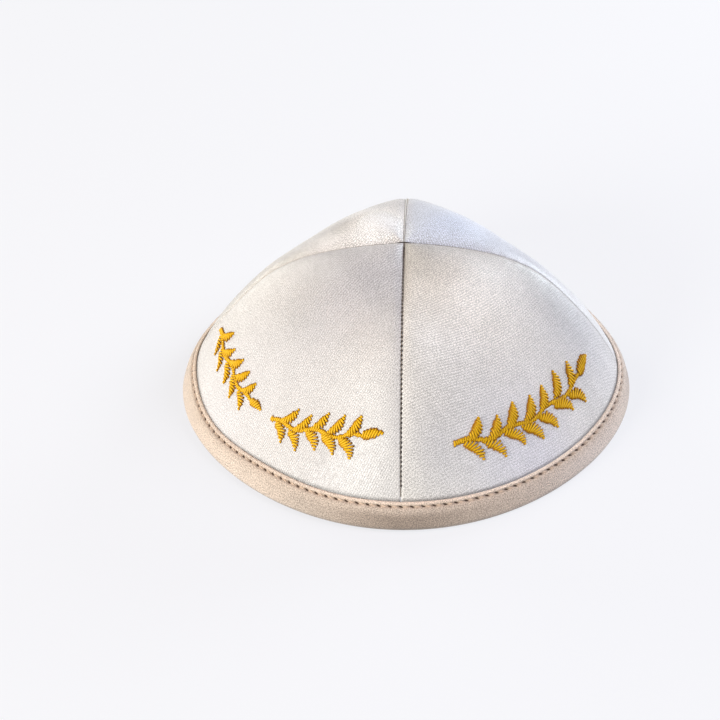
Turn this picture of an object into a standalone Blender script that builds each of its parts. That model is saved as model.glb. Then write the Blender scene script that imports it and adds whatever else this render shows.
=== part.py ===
"""Kippah skullcap: four cloth gores sewn in a cross, and a folded binding round the rim.

Metres, +Z up. The cap stands on its rim. The origin is on the floor, below the point where
the seams cross, and the front seam faces -Y.
"""

import math
from typing import NamedTuple

import bmesh
import bpy
import numpy as np

MM = 0.001

# Crown, measured on the gores' outer face. The rim stands out by its squareness, a share of
# its radius, at the seams. The swell power is low where a gore fills out close to its seams.
RIM_RADIUS = 86.0 * MM
CROWN_HEIGHT = 66.9 * MM
RIM_SLOPE = math.radians(58)
RIM_SQUARENESS = 0.011
SWELL_POWER = 1.4
GORE_WALL = 1.6 * MM

# Seams between the gores
SEAM_GAP = 0.3 * MM
SEAM_DEPTH = 0.6 * MM
SEAM_SPREAD = 2.0 * MM
BINDING_FADE = 5.0 * MM

# Binding: a strip folded over the gores' lower edge, with a raised lip above the groove that
# its stitches pull in, and a plump band below, between two shares of the band's height
BINDING_COVER = 8.9 * MM
BINDING_CLOTH = 1.1 * MM
BINDING_GAP = 0.3 * MM
INNER_LEG_SHORT = 1.0 * MM
LIP_WIDTH = 1.7 * MM
STITCH_GROOVE_WIDTH = 0.8 * MM
STITCH_GROOVE_DEPTH = 0.35 * MM
PLUMPNESS = 0.25 * MM
PLUMP_FROM = 0.6
PLUMP_TO = 0.2
RIM_FLATTENED = 0.45 * MM

# Fineness of the faceted shapes. The grid's lines crowd towards the seams and the rim.
GORE_CELLS = 16
SEAM_CROWDING = 1.5
RIM_CROWDING = 0.6
BINDING_STEPS = 80
FOLD_STEPS = 12
CHANNEL_STEPS = 4
SLOPE_SAMPLES = 81
SHARP_ANGLE = math.radians(40)


class ProfileRow(NamedTuple):
    """A ring of the crown: shares of the rim's radius and of the height above the rim."""

    radius: float
    seam_height: float
    gore_height: float


PROFILE = [
    ProfileRow(radius=0.00, seam_height=1.000, gore_height=1.000),
    ProfileRow(radius=0.15, seam_height=0.983, gore_height=1.014),
    ProfileRow(radius=0.30, seam_height=0.950, gore_height=0.982),
    ProfileRow(radius=0.45, seam_height=0.893, gore_height=0.854),
    ProfileRow(radius=0.60, seam_height=0.778, gore_height=0.652),
    ProfileRow(radius=0.74, seam_height=0.584, gore_height=0.427),
    ProfileRow(radius=0.86, seam_height=0.368, gore_height=0.234),
    ProfileRow(radius=0.94, seam_height=0.174, gore_height=0.104),
    ProfileRow(radius=1.00, seam_height=0.000, gore_height=0.000),
]


class Dent(NamedTuple):
    """A soft hollow in the crown: its direction in degrees, then shares of the rim's radius
    for how far out it lies and how wide it spreads, and of the crown's height for its depth."""

    azimuth: float
    reach: float
    spread: float
    depth: float


DENTS = [
    Dent(azimuth=-128, reach=0.28, spread=0.15, depth=0.020),
    Dent(azimuth=-48, reach=0.24, spread=0.10, depth=0.012),
    Dent(azimuth=-30, reach=0.62, spread=0.16, depth=0.010),
    Dent(azimuth=150, reach=0.46, spread=0.15, depth=0.009),
    Dent(azimuth=36, reach=0.62, spread=0.14, depth=0.008),
]


class Nip(NamedTuple):
    """A stretch of the rim that draws in: its middle and its spread in degrees, and its depth
    as a share of the rim's radius."""

    azimuth: float
    spread: float
    depth: float


NIPS = [
    Nip(azimuth=160, spread=17, depth=0.018),
    Nip(azimuth=22, spread=17, depth=0.016),
]


class Gore(NamedTuple):
    """A gore's name and the signs of x and y in its quarter of the plan."""

    name: str
    side: int
    front: int


GORES = [
    Gore(name="panel_front_left", side=-1, front=-1),
    Gore(name="panel_front_right", side=1, front=-1),
    Gore(name="panel_back_right", side=1, front=1),
    Gore(name="panel_back_left", side=-1, front=1),
]

SATIN_COLOUR = (0.80, 0.77, 0.73, 1.0)
SATIN_ROUGHNESS = 0.42
BINDING_COLOUR = (0.58, 0.48, 0.40, 1.0)
BINDING_ROUGHNESS = 0.80

# Worked out from the sizes above
FOLD_RADIUS = GORE_WALL / 2 + BINDING_GAP + BINDING_CLOTH
CHANNEL_RADIUS = GORE_WALL / 2 + BINDING_GAP
RIM_HEIGHT = FOLD_RADIUS - RIM_FLATTENED + GORE_WALL / 2 * math.cos(RIM_SLOPE)


def smooth_through(x, table_x, table_y):
    """A curve through the table's points, carried straight on past its last point."""
    slopes = np.gradient(table_y, table_x)
    inside = np.clip(x, table_x[0], table_x[-1])
    row = np.clip(np.searchsorted(table_x, inside) - 1, 0, len(table_x) - 2)
    step = table_x[row + 1] - table_x[row]
    t = (inside - table_x[row]) / step
    start = (1 + 2 * t) * (1 - t) ** 2 * table_y[row]
    leave = t * (1 - t) ** 2 * step * slopes[row]
    end = t**2 * (3 - 2 * t) * table_y[row + 1]
    arrive = t**2 * (t - 1) * step * slopes[row + 1]
    return start + leave + end + arrive + (x - inside) * slopes[-1]


def plan_share(azimuth):
    """How far out the rim lies in this direction, as a share of its radius."""
    share = 1 + RIM_SQUARENESS * np.cos(4 * azimuth)
    for nip in NIPS:
        away = np.degrees(azimuth) - nip.azimuth
        away = (away + 180) % 360 - 180
        share = share - nip.depth * np.exp(-((away / nip.spread) ** 2))
    return share


def crown_meridian(radius_share, azimuth):
    """Radius and height of the crown's outer face, without its grooves and dents."""
    rows = np.array(PROFILE)
    swell = np.abs(np.sin(2 * azimuth)) ** SWELL_POWER
    seam = smooth_through(radius_share, rows[:, 0], rows[:, 1])
    gore = smooth_through(radius_share, rows[:, 0], rows[:, 2])
    height_share = seam * (1 - swell) + gore * swell
    uneven = (plan_share(azimuth) - 1) * np.clip(radius_share, 0, 1) ** 2
    radius = RIM_RADIUS * radius_share * (1 + uneven)
    height = RIM_HEIGHT + (CROWN_HEIGHT - RIM_HEIGHT) * height_share
    return radius, height


def drop_of(x, y, radius_share):
    """How far the seams' grooves and the dents lie below the plain crown."""
    to_seam = np.minimum(np.abs(x), np.abs(y))
    drop = SEAM_DEPTH * np.exp(-((to_seam / SEAM_SPREAD) ** 2))
    for dent in DENTS:
        angle = math.radians(dent.azimuth)
        away_x = x - RIM_RADIUS * dent.reach * math.cos(angle)
        away_y = y - RIM_RADIUS * dent.reach * math.sin(angle)
        nearness = (away_x**2 + away_y**2) / (RIM_RADIUS * dent.spread) ** 2
        drop += CROWN_HEIGHT * dent.depth * np.exp(-nearness)
    from_binding = RIM_RADIUS * (1 - radius_share) - BINDING_COVER
    fade = np.clip(from_binding / BINDING_FADE, 0, 1)
    return drop * fade**2 * (3 - 2 * fade)


def crown_sheet():
    """The crown's outer face: a square grid whose lines run along the seams, made round. The
    lines lie closer together beside the seams and at the rim."""
    sheet = bmesh.new()
    bmesh.ops.create_grid(sheet, x_segments=2 * GORE_CELLS, y_segments=2 * GORE_CELLS, size=1)
    square = np.array([vertex.co[:2] for vertex in sheet.verts])
    reach = np.abs(square)
    crowded = np.sign(square) * reach**SEAM_CROWDING * (1 + RIM_CROWDING * (1 - reach))
    radius_share = np.abs(crowded).max(axis=1)
    azimuth = np.arctan2(crowded[:, 1], crowded[:, 0])
    radius, height = crown_meridian(radius_share, azimuth)
    x = radius * np.cos(azimuth)
    y = radius * np.sin(azimuth)
    height = height - drop_of(x, y, radius_share)
    for vertex, place in zip(sheet.verts, np.column_stack([x, y, height])):
        vertex.co = place
    bmesh.ops.triangulate(sheet, faces=sheet.faces, quad_method="BEAUTY")
    mesh = bpy.data.meshes.new("crown_sheet")
    sheet.to_mesh(mesh)
    sheet.free()
    return mesh


def add_object(name, mesh, collection):
    obj = bpy.data.objects.new(name, mesh)
    collection.objects.link(obj)
    return obj


def add_material(obj, colour, roughness):
    material = bpy.data.materials.new(obj.name + "_cloth")
    material.use_nodes = True
    shader = material.node_tree.nodes["Principled BSDF"]
    shader.inputs["Base Color"].default_value = colour
    shader.inputs["Roughness"].default_value = roughness
    shader.inputs["Metallic"].default_value = 0.0
    obj.data.materials.append(material)


def shade(mesh):
    mesh.shade_smooth()
    mesh.set_sharp_from_angle(angle=SHARP_ANGLE)


def quarter_block(gore, collection):
    """The block that keeps one quarter of the crown, half a seam gap from both seams."""
    block = bmesh.new()
    size = 2 * RIM_RADIUS
    bmesh.ops.create_cube(block, size=size)
    shift = (size + SEAM_GAP) / 2
    bmesh.ops.translate(block, verts=block.verts, vec=(gore.side * shift, gore.front * shift, 0))
    mesh = bpy.data.meshes.new(gore.name + "_block")
    block.to_mesh(mesh)
    block.free()
    cutter = add_object(mesh.name, mesh, collection)
    cutter.hide_render = True
    cutter.display_type = "WIRE"
    return cutter


def make_gore(gore, sheet, parts, cutters):
    """One gore: a quarter of the crown, a cloth wall thick."""
    panel = add_object(gore.name, sheet.copy(), parts)
    shade(panel.data)
    add_material(panel, SATIN_COLOUR, SATIN_ROUGHNESS)
    wall = panel.modifiers.new("cloth wall", "SOLIDIFY")
    wall.thickness = GORE_WALL
    wall.offset = -1
    wall.use_even_offset = True
    quarter = panel.modifiers.new("quarter", "BOOLEAN")
    quarter.operation = "INTERSECT"
    quarter.solver = "EXACT"
    quarter.object = quarter_block(gore, cutters)


def arc(radius, steps):
    """Points round the gores' lower edge, from the outside under it to the inside, as the rise
    along the crown above that edge and the offset out from the crown's outer face."""
    turns = np.linspace(0, math.pi, steps + 1)
    return [(-radius * math.sin(turn), radius * math.cos(turn) - GORE_WALL / 2) for turn in turns]


def binding_section():
    """The closed outline of the folded strip, as (rise, offset) points like those of arc()."""
    outside = BINDING_GAP + BINDING_CLOTH
    inside = -GORE_WALL - BINDING_GAP
    inner_top = BINDING_COVER - INNER_LEG_SHORT
    band_top = BINDING_COVER - LIP_WIDTH - STITCH_GROOVE_WIDTH
    groove = BINDING_COVER - LIP_WIDTH - STITCH_GROOVE_WIDTH / 2
    lip = [
        (BINDING_COVER, BINDING_GAP + BINDING_CLOTH / 2),
        (BINDING_COVER - LIP_WIDTH / 4, outside),
        (BINDING_COVER - LIP_WIDTH, outside),
    ]
    band = [
        (groove, outside - STITCH_GROOVE_DEPTH),
        (band_top, outside),
        (band_top * PLUMP_FROM, outside + PLUMPNESS),
        (band_top * PLUMP_TO, outside + PLUMPNESS),
    ]
    fold = arc(FOLD_RADIUS, FOLD_STEPS)[1:]
    inner_leg = [
        (inner_top / 2, inside - BINDING_CLOTH),
        (inner_top, inside - BINDING_CLOTH),
        (inner_top, inside),
        (inner_top / 2, inside),
    ]
    channel = arc(CHANNEL_RADIUS, CHANNEL_STEPS)[::-1]
    outer_leg = [
        (BINDING_COVER / 2, BINDING_GAP),
        (BINDING_COVER, BINDING_GAP),
    ]
    return lip + band + fold + inner_leg + channel + outer_leg


def on_rim(rise, offset, azimuth):
    """The place of a point of the binding's outline, on the crown's slope at this azimuth."""
    margin = 2 * BINDING_COVER / RIM_RADIUS
    shares = np.linspace(1 - margin, 1 + margin, SLOPE_SAMPLES)
    radius, height = crown_meridian(shares, azimuth)
    lengths = np.hypot(np.diff(radius), np.diff(height))
    rises = np.cumsum(np.append(0, lengths))
    rises = np.interp(1, shares, rises) - rises
    slope_r = np.interp(-rise, -rises, np.gradient(radius, -rises))
    slope_z = np.interp(-rise, -rises, np.gradient(height, -rises))
    out = np.interp(-rise, -rises, radius) - offset * slope_z
    up = np.interp(-rise, -rises, height) + offset * slope_r
    return (out * math.cos(azimuth), out * math.sin(azimuth), max(up, 0))


def make_binding(parts):
    """The binding: its outline turned into a ring, then set on the crown's own slope."""
    ring = bmesh.new()
    corners = [ring.verts.new((RIM_RADIUS + offset, 0, rise)) for rise, offset in binding_section()]
    edges = [ring.edges.new(pair) for pair in zip(corners, corners[1:] + corners[:1])]
    bmesh.ops.spin(
        ring,
        geom=corners + edges,
        cent=(0, 0, 0),
        axis=(0, 0, 1),
        angle=math.tau,
        steps=BINDING_STEPS,
        use_merge=True,
    )
    for vertex in ring.verts:
        x, y, rise = vertex.co
        vertex.co = on_rim(rise, math.hypot(x, y) - RIM_RADIUS, math.atan2(y, x))
    bmesh.ops.recalc_face_normals(ring, faces=ring.faces)
    mesh = bpy.data.meshes.new("rim_binding")
    ring.to_mesh(mesh)
    ring.free()
    shade(mesh)
    binding = add_object("rim_binding", mesh, parts)
    add_material(binding, BINDING_COLOUR, BINDING_ROUGHNESS)


def add_collection(name):
    collection = bpy.data.collections.new(name)
    bpy.context.scene.collection.children.link(collection)
    return collection


def main():
    for obj in list(bpy.data.objects):
        bpy.data.objects.remove(obj, do_unlink=True)
    parts = add_collection("kippah")
    cutters = add_collection("cutters")
    sheet = crown_sheet()
    for gore in GORES:
        make_gore(gore, sheet, parts, cutters)
    bpy.data.meshes.remove(sheet)
    make_binding(parts)


main()
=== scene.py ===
"""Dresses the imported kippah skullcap: satin gores, binding, sewing thread and embroidery.

Metres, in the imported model's frame: +Z up, the cap stands on its rim, the seams cross above
the origin, and the front seam faces -Y.
"""

import math
from typing import NamedTuple

import bmesh
import bpy
import numpy as np
from mathutils import Matrix, Vector


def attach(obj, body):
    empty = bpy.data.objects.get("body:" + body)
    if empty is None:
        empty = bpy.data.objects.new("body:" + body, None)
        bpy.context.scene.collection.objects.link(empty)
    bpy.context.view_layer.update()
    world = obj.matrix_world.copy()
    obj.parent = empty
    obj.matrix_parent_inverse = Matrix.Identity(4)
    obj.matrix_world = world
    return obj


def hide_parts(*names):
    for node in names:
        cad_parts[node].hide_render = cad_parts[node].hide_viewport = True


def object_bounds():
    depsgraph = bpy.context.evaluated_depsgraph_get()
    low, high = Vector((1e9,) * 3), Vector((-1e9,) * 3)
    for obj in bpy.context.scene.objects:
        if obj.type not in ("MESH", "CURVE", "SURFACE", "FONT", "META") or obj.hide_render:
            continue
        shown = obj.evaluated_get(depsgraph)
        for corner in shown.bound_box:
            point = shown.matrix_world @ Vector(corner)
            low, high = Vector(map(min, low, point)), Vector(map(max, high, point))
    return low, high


bl_info = {
    "name": "Kippah skullcap",
    "version": (1, 0, 0),
    "blender": (4, 5, 0),
    "location": "View3D > Sidebar > Kippah",
    "description": "Dresses a four-gore skullcap with satin, binding, thread and embroidery",
    "category": "Object",
}

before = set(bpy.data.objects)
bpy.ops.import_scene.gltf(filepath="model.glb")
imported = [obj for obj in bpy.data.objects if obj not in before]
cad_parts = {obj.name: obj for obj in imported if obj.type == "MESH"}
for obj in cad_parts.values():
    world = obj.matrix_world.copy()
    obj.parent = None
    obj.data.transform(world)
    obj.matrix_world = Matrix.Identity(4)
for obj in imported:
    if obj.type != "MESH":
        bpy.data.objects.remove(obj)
CAD_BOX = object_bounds()
BODY = "root"
MM = 0.001

# Crown, as the solids have it: the swell power is low where a gore fills out close to its seams
RIM_SLOPE = math.radians(58)
RIM_SQUARENESS = 0.011
SWELL_POWER = 1.4
SEAM_DEPTH = 0.6 * MM
SEAM_SPREAD = 2.0 * MM
BINDING_FADE = 5.0 * MM
RIM_FLATTENED = 0.45 * MM


class ProfileRow(NamedTuple):
    """A ring of the crown: shares of the rim's radius and of the height above the rim."""

    radius: float
    seam_height: float
    gore_height: float


PROFILE = [
    ProfileRow(radius=0.00, seam_height=1.000, gore_height=1.000),
    ProfileRow(radius=0.15, seam_height=0.983, gore_height=1.014),
    ProfileRow(radius=0.30, seam_height=0.950, gore_height=0.982),
    ProfileRow(radius=0.45, seam_height=0.893, gore_height=0.854),
    ProfileRow(radius=0.60, seam_height=0.778, gore_height=0.652),
    ProfileRow(radius=0.74, seam_height=0.584, gore_height=0.427),
    ProfileRow(radius=0.86, seam_height=0.368, gore_height=0.234),
    ProfileRow(radius=0.94, seam_height=0.174, gore_height=0.104),
    ProfileRow(radius=1.00, seam_height=0.000, gore_height=0.000),
]


class Dent(NamedTuple):
    """A soft hollow in the crown: its direction in degrees, then shares of the rim's radius
    for how far out it lies and how wide it spreads, and of the crown's height for its depth."""

    azimuth: float
    reach: float
    spread: float
    depth: float


DENTS = [
    Dent(azimuth=-128, reach=0.28, spread=0.15, depth=0.020),
    Dent(azimuth=-48, reach=0.24, spread=0.10, depth=0.012),
    Dent(azimuth=-30, reach=0.62, spread=0.16, depth=0.010),
    Dent(azimuth=150, reach=0.46, spread=0.15, depth=0.009),
    Dent(azimuth=36, reach=0.62, spread=0.14, depth=0.008),
]


class Nip(NamedTuple):
    """A stretch of the rim that draws in: its middle and its spread in degrees, and its depth
    as a share of the rim's radius."""

    azimuth: float
    spread: float
    depth: float


NIPS = [
    Nip(azimuth=160, spread=17, depth=0.018),
    Nip(azimuth=22, spread=17, depth=0.016),
]


class Gore(NamedTuple):
    """A gore's name, the signs of x and y in its quarter of the plan, its middle direction in degrees,
    how its weave's main rows and cross rows turn from that direction, in degrees, how far apart they
    are, the painted light and shade that tints the whole gore, and how strong its grain looks."""

    name: str
    side: int
    front: int
    middle: float
    rows_turn: float
    rows_pitch: float
    cross_turn: float
    cross_pitch: float
    lustre: tuple
    grain: float


# Each gore's tint is painted light: the lighter, darker and bluer gores stand in for how the lamps fall
# on them
GORES = [
    Gore("panel_front_left", -1, -1, -135, 178, 0.86 * MM, 79, 1.00 * MM, (0.985, 0.99, 1.01), 1.25),
    Gore("panel_front_right", 1, -1, -45, 87, 0.99 * MM, 17, 1.04 * MM, (1.09, 1.085, 1.07), 1.55),
    Gore("panel_back_right", 1, 1, 45, 82, 0.94 * MM, 172, 0.98 * MM, (1.0, 1.015, 1.045), 1.0),
    Gore("panel_back_left", -1, 1, 135, 84, 0.96 * MM, 10, 0.98 * MM, (1.0, 1.0, 1.0), 2.5),
]


class PaintedLightPatch(NamedTuple):
    """A soft patch of painted light and shade on a cloth: its direction in degrees, how far out it lies
    and how wide it spreads as shares of the rim's radius, and how it changes the cloth's red, green and
    blue, lighter for a painted highlight and darker for painted shade."""

    azimuth: float
    reach: float
    spread: float
    tint: tuple


# Painted highlights and painted shade on each gore and on the binding, with painted blue light on the
# back right gore
PAINTED_LIGHT_PATCHES = {
    "panel_front_left": [
        PaintedLightPatch(-133, 0.41, 0.25, (0.82, 0.83, 0.88)),
        PaintedLightPatch(-152, 0.94, 0.30, (1.07, 1.08, 1.11)),
        PaintedLightPatch(-112, 0.92, 0.17, (0.83, 0.82, 0.83)),
        PaintedLightPatch(-151, 0.52, 0.14, (0.93, 0.93, 0.92)),
    ],
    "panel_front_right": [
        PaintedLightPatch(-80, 0.87, 0.11, (0.90, 0.91, 0.95)),
        PaintedLightPatch(-62, 0.14, 0.12, (0.79, 0.79, 0.78)),
        PaintedLightPatch(-45, 0.46, 0.22, (1.09, 1.06, 1.01)),
        PaintedLightPatch(-7, 0.80, 0.22, (0.86, 0.87, 0.92)),
        PaintedLightPatch(-50, 0.94, 0.22, (1.02, 1.04, 1.15)),
        PaintedLightPatch(-6, 0.60, 0.15, (0.79, 0.79, 0.79)),
        PaintedLightPatch(-5, 0.76, 0.14, (0.84, 0.83, 0.83)),
        PaintedLightPatch(-66, 0.91, 0.15, (1.06, 1.08, 1.13)),
        PaintedLightPatch(-35, 0.93, 0.14, (1.07, 1.07, 1.07)),
        PaintedLightPatch(-82, 0.50, 0.11, (1.09, 1.10, 1.10)),
    ],
    "panel_back_right": [
        PaintedLightPatch(34, 0.20, 0.34, (1.04, 1.14, 1.32)),
        PaintedLightPatch(8, 0.60, 0.17, (0.81, 0.805, 0.82)),
    ],
    "panel_back_left": [
        PaintedLightPatch(118, 0.22, 0.14, (1.44, 1.42, 1.36)),
        PaintedLightPatch(147, 0.345, 0.08, (0.77, 0.76, 0.76)),
        PaintedLightPatch(148, 0.16, 0.11, (1.40, 1.43, 1.48)),
        PaintedLightPatch(171, 0.36, 0.08, (1.30, 1.31, 1.33)),
        PaintedLightPatch(170, 0.86, 0.14, (0.84, 0.85, 0.84)),
        PaintedLightPatch(172, 0.56, 0.20, (0.92, 0.91, 0.90)),
    ],
    "rim_binding": [
        PaintedLightPatch(-90, 1.0, 0.34, (0.50, 0.475, 0.46)),
        PaintedLightPatch(-36, 1.0, 0.30, (1.20, 1.25, 1.32)),
        PaintedLightPatch(-136, 1.0, 0.26, (1.04, 1.06, 1.08)),
        PaintedLightPatch(2, 1.0, 0.22, (0.74, 0.74, 0.76)),
        PaintedLightPatch(-114, 1.0, 0.15, (0.88, 0.89, 0.90)),
    ],
}

# Fineness of the gores' grid, whose lines crowd towards the seams and the rim
GORE_CELLS = 150
SEAM_CROWDING = 1.5
RIM_CROWDING = 0.9

# A gore laid flat: the angle that its cut takes for each turn round the cap
FLAT_TURN = 0.78

# Soft unevenness of the satin: rolled seam edges, puckers along the seams and above the binding,
# calm near the top, and slow waves
SEAM_ROLL_DEPTH = 0.24 * MM
SEAM_ROLL_WIDTH = 0.26 * MM
PUCKER_DEPTH = 0.07 * MM
PUCKER_LENGTH = 4.6 * MM
PUCKER_REACH = 3.2 * MM
PUCKERS_IN_SWELL = 7.3
PUCKER_SWELL = 0.4
LIP_PUCKER_DEPTH = 0.028 * MM
LIP_PUCKER_REACH = 5.12 * MM
CALM_TOP = 0.12
WAVE_DEPTH = 0.16 * MM
WAVE_LENGTHS = (31 * MM, 19 * MM, 12 * MM)

# The satin's slow random mottle, and how strong its nap is at the top and the rim
LUSTRE_MOTTLE = 0.03
MOTTLE_LENGTHS = (21 * MM, 13 * MM, 8 * MM)
MOTTLE_SEED = 20
NAP_AT_TOP = 1.95
NAP_AT_RIM = 0.75
NAP_FALL = 1.7

# Painted shade on the satin: above the binding's lip, with a stretch where it is narrower, along the
# seams, beside the upper front seam, and beside the right seam on the front right gore
LIP_SHADOW = 1.35 * MM
LIP_SHADOW_DEPTH = 0.45
CLEAR_AZIMUTH = math.radians(-155)
CLEAR_SPREAD = math.radians(24)
CLEAR_BY = 0.5 * MM
SEAM_SHADE_REACH = 2.2 * MM
FRONT_SHADE_REACH = 2.3 * MM
FRONT_SHADE_END = 0.50
FRONT_SHADE_FADE = 0.3
SIDE_PAINTED_SHADE = 0.16
SIDE_PAINTED_SHADE_REACH = 5.5 * MM

# Where the rows show most on the front right gore, how much of them is left far from there, and
# how much shows on the other gores
ROWS_AZIMUTH = math.radians(-66)
ROWS_REACH = 0.52
ROWS_SPREAD = 0.46
ROWS_LEAST = 0.35
PLAIN_ROWS = 0.75

# How far the rows, the floats of thread, the specks and the mottling change the satin's colour
ROW_SHADE = 0.85
FLOAT_SHADE = 0.10
CROSS_SHADE = 0.06
SPECK_SHADE = 1.70
MOTTLE_SHADE = 0.08

# Colours of painted shade on the satin by its seams, and in the binding's groove and stitch holes
SEAM_SHADE_TINT = (0.50, 0.44, 0.40, 1.0)
FRONT_SEAM_SHADE_TINT = (0.44, 0.38, 0.33, 1.0)
GROOVE_SHADE_TINT = (0.40, 0.26, 0.17, 1.0)
HOLE_SHADE_TINT = (0.070, 0.036, 0.021, 1.0)

# Binding: how its outline rises, dips and swells, and where its stitches pull it in
INNER_LEG_SHORT = 1.0 * MM
LIP_ROUNDING = 0.5 * MM
LIP_EDGE = 0.06 * MM
LIP_TAPER = 0.55 * MM
LIP_TAPER_FROM = 0.4 * MM
GROOVE_WIDTH = 0.55 * MM
GROOVE_DEPTH = 0.42 * MM
GROOVE_BELOW_LIP = 0.7
PIT_DEPTH = 0.55 * MM
PIT_LENGTH = 0.92 * MM
PIT_WIDTH = 0.40 * MM
PIT_SLANT = -0.30
PLUMPNESS = 0.55 * MM
PLUMP_HIGH = 0.75
BAND_PUCKER = 0.07 * MM
BAND_PUCKER_REACH = 0.42
BAND_PUCKER_RISE = 0.1
BAND_WAVE = 0.10 * MM
BAND_WAVE_SEED = 11
STITCHES = 132
STEPS_IN_STITCH = (0.0, 0.05, 0.10, 0.16, 0.24, 0.38, 0.55, 0.72, 0.84, 0.90, 0.95)

# Fineness of the binding: points on its lip, groove, band, fold and channel, and of the table
# of the crown's slope under it, with how far that table reaches as a multiple of its cover
LIP_POINTS = 6
GROOVE_POINTS = 16
BAND_POINTS = 10
FOLD_STEPS = 9
CHANNEL_STEPS = 6
SLOPE_SAMPLES = 121
SLOPE_REACH = 2.6

# The binding's painted light and shade: a painted highlight along the lip, the painted light patches in
# full below the stitches, and painted shade darker towards the bottom edge where it rests
LIP_HIGHLIGHT = 0.45
LIP_HIGHLIGHT_FROM = 1.1 * MM
LIP_HIGHLIGHT_RAMP = 0.7 * MM
TINT_RAMP = 4.5 * MM
GROOVE_SHADE_REACH = 1.3 * GROOVE_WIDTH
LOW_EDGE = 2.6 * MM
LOW_SHADE = 0.40


class CoverChange(NamedTuple):
    """A stretch where the binding covers more or less of the gores: its middle and its spread in
    degrees, and how much further up it reaches, in metres."""

    azimuth: float
    spread: float
    extra: float


COVER_CHANGES = [
    CoverChange(azimuth=181, spread=20, extra=2.3 * MM),
    CoverChange(azimuth=-152, spread=17, extra=-1.5 * MM),
    CoverChange(azimuth=-42, spread=36, extra=-1.3 * MM),
    CoverChange(azimuth=-112, spread=12, extra=-0.3 * MM),
]


class LegPoint(NamedTuple):
    """A point of the binding's inner leg: shares of the leg's height and of the cloth's
    thickness there, from the fold up its inner face and down its face in the channel."""

    rise: float
    cloth: float


INNER_LEG = [
    LegPoint(rise=0.00, cloth=1.00),
    LegPoint(rise=0.25, cloth=1.10),
    LegPoint(rise=0.50, cloth=1.15),
    LegPoint(rise=0.75, cloth=1.05),
    LegPoint(rise=0.93, cloth=0.90),
    LegPoint(rise=1.00, cloth=0.65),
    LegPoint(rise=1.00, cloth=0.30),
    LegPoint(rise=0.93, cloth=0.00),
    LegPoint(rise=0.50, cloth=0.00),
    LegPoint(rise=0.00, cloth=0.00),
]

# Stitches on the binding: where in its pitch a thread starts and how long it is, how far it
# leans, how deep its ends dive, its lift as a share of a thread's radius, and its radius
STITCH_START = 0.23
STITCH_SHARE = 0.54
STITCH_LEAN = 0.5 * MM
STITCH_DIVE = 0.85 * MM
STITCH_LIFT = 0.6
STITCH_RADIUS = 0.24 * MM

# Thread across the top: half its length as a share of the rim's radius, then its lift, how deep
# its ends dive, and its radius
APEX_TACK = 0.035
TACK_LIFT = 0.02 * MM
TACK_DIVE = 0.5 * MM
TACK_RADIUS = 0.2 * MM

# Fineness of the threads
THREAD_POINTS = 9
THREAD_SIDES = 6


class ThreadLook(NamedTuple):
    """A kind of thread: its colour in the settings, its roughness, how long its plies are in metres, and
    how much its crest is lightened by a painted highlight and its sides darkened by painted shade,
    against its colour."""

    colour: str
    roughness: float
    ply: float
    light: float
    dark: float | tuple


THREADS = {
    "binding_thread": ThreadLook("binding_thread", 0.6, 0.9 * MM, 1.1, 0.75),
    "dark_seam_thread": ThreadLook("seam_thread", 0.7, 0.9 * MM, 1.1, 0.75),
    "brown_seam_thread": ThreadLook("front_core", 0.7, 0.9 * MM, 1.1, 0.75),
    "pale_seam_thread": ThreadLook("pale_thread", 0.7, 0.9 * MM, 1.1, 0.75),
    "grey_seam_thread": ThreadLook("grey_thread", 0.7, 0.9 * MM, 1.1, 0.90),
    "white_thread": ThreadLook("white_thread", 0.5, 0.8 * MM, 1.1, 0.90),
    "ivory_thread": ThreadLook("satin", 0.5, 0.8 * MM, 1.1, 0.75),
    "gold_thread": ThreadLook("gold", 0.5, 1.1 * MM, 1.08, (0.48, 0.34, 0.15)),
}


class SeamCore(NamedTuple):
    """The thread that lies down in a seam and closes it: its kind, the seams' directions in
    degrees, then in metres how deep it lies and its radius."""

    name: str
    thread: str
    directions: tuple
    depth: float
    radius: float


SEAM_CORES = [
    SeamCore("front_seam_core", "brown_seam_thread", (-90,), 0.12 * MM, 0.14 * MM),
    SeamCore("side_seam_cores", "pale_seam_thread", (0, 180), 0.36 * MM, 0.19 * MM),
    SeamCore("back_seam_core", "grey_seam_thread", (90,), 0.02 * MM, 0.22 * MM),
]
CORE_SHARES = (0.004, 0.95)
CORE_POINTS = 240


class SeamRow(NamedTuple):
    """Short threads along one seam: their kind, the seam's direction in degrees, then in metres
    how far apart they are, half their length across and along the seam, how far their middle
    lies beside it and above the cloth, and their radius."""

    name: str
    thread: str
    direction: float
    spacing: float
    across: float
    along: float
    aside: float
    lift: float
    radius: float


FRONT_ROW = (-90, 1.75 * MM, 0.03 * MM, 0.40 * MM, 0, 0.16 * MM, 0.20 * MM)
SIDE_ROW = (1.05 * MM, 0.26 * MM, 0.25 * MM, 0, -0.26 * MM, 0.11 * MM)
BACK_ROW = (90, 1.9 * MM, 0.62 * MM, 0.60 * MM, -0.62 * MM, 0.13 * MM, 0.12 * MM)
SEAM_ROWS = [
    SeamRow("front_seam_stitches", "dark_seam_thread", *FRONT_ROW),
    SeamRow("right_seam_stitches", "ivory_thread", 0, *SIDE_ROW),
    SeamRow("left_seam_stitches", "ivory_thread", 180, *SIDE_ROW),
    SeamRow("back_seam_stitches", "white_thread", *BACK_ROW),
]
ROW_SHARES = (0.03, 0.94)
ROW_DIVE = 0.55 * MM
ROW_UNEVENNESS = 0.06


class Sprig(NamedTuple):
    """One embroidered sprig: where its stem starts and ends round the cap, in degrees, how far
    out its ends and its middle lie, as shares of the rim's radius, how many pairs of leaves it
    has, and how long they are in metres."""

    start: float
    end: float
    ends_out: float
    middle_out: float
    pairs: int
    leaf: float


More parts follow.
